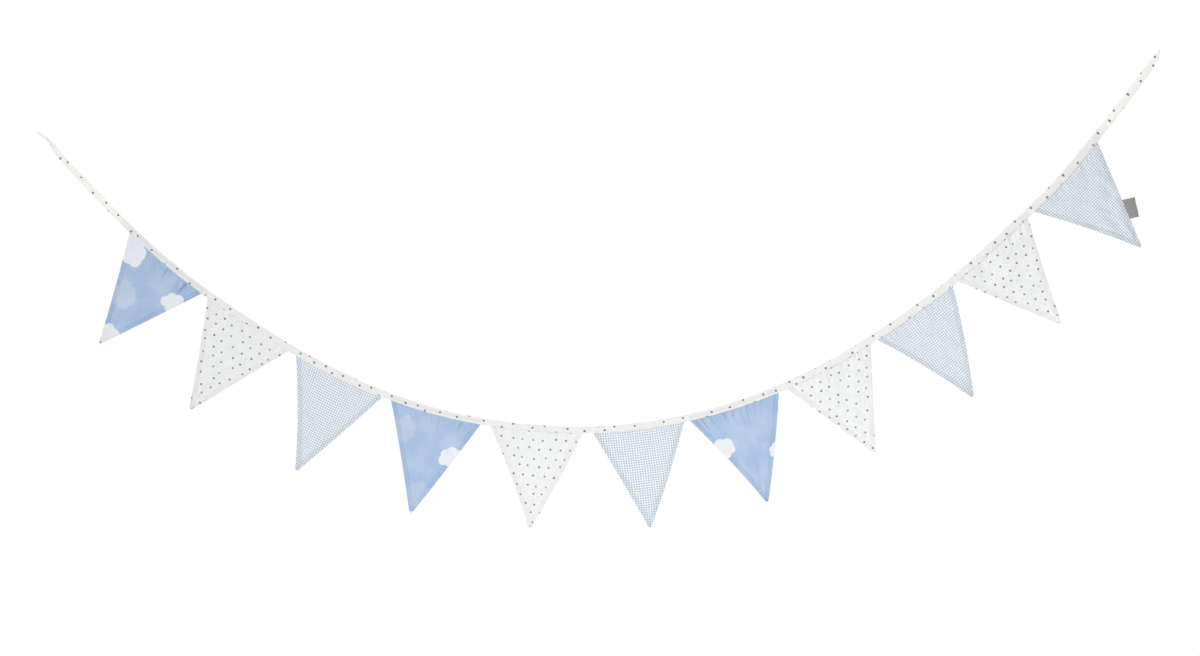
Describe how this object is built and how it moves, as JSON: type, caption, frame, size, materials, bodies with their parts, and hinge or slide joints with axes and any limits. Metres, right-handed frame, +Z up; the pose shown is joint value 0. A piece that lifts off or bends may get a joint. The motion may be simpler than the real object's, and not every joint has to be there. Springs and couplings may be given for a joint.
{
  "type": "flag bunting",
  "caption": "String of triangular double-cloth pennants sewn into a folded cotton tape, hanging in a swag between its two tie ends.",
  "frame": {"origin": "the left end of the tape, where the bunting is tied or pinned up", "axes": "+X to the right along the span of the swag, +Z up, the pennants' faces look along -Y"},
  "size_m": [2.0212, 0.0201, 0.8622],
  "materials": {
    "dotted_tape": "folded plain-weave cotton tape, white with small grey printed dots, topstitched",
    "cloud_cotton": "printed plain-weave cotton, soft blue with white clouds",
    "dotted_cotton": "printed plain-weave cotton, white with small grey dots",
    "gingham_cotton": "yarn-dyed mini gingham cotton, light blue and white",
    "woven_label": "folded grey woven ribbon, blank"
  },
  "bodies": {
    "root": {"tape": "dotted_tape", "pennant_01_cloud": "cloud_cotton", "pennant_02_dots": "dotted_cotton", "pennant_03_gingham": "gingham_cotton", "pennant_04_cloud": "cloud_cotton", "pennant_05_dots": "dotted_cotton", "pennant_06_gingham": "gingham_cotton", "pennant_07_cloud": "cloud_cotton", "pennant_08_dots": "dotted_cotton", "pennant_09_gingham": "gingham_cotton", "pennant_10_dots": "dotted_cotton", "pennant_11_gingham": "gingham_cotton", "side_label": "woven_label"}
  },
  "joints": []
}
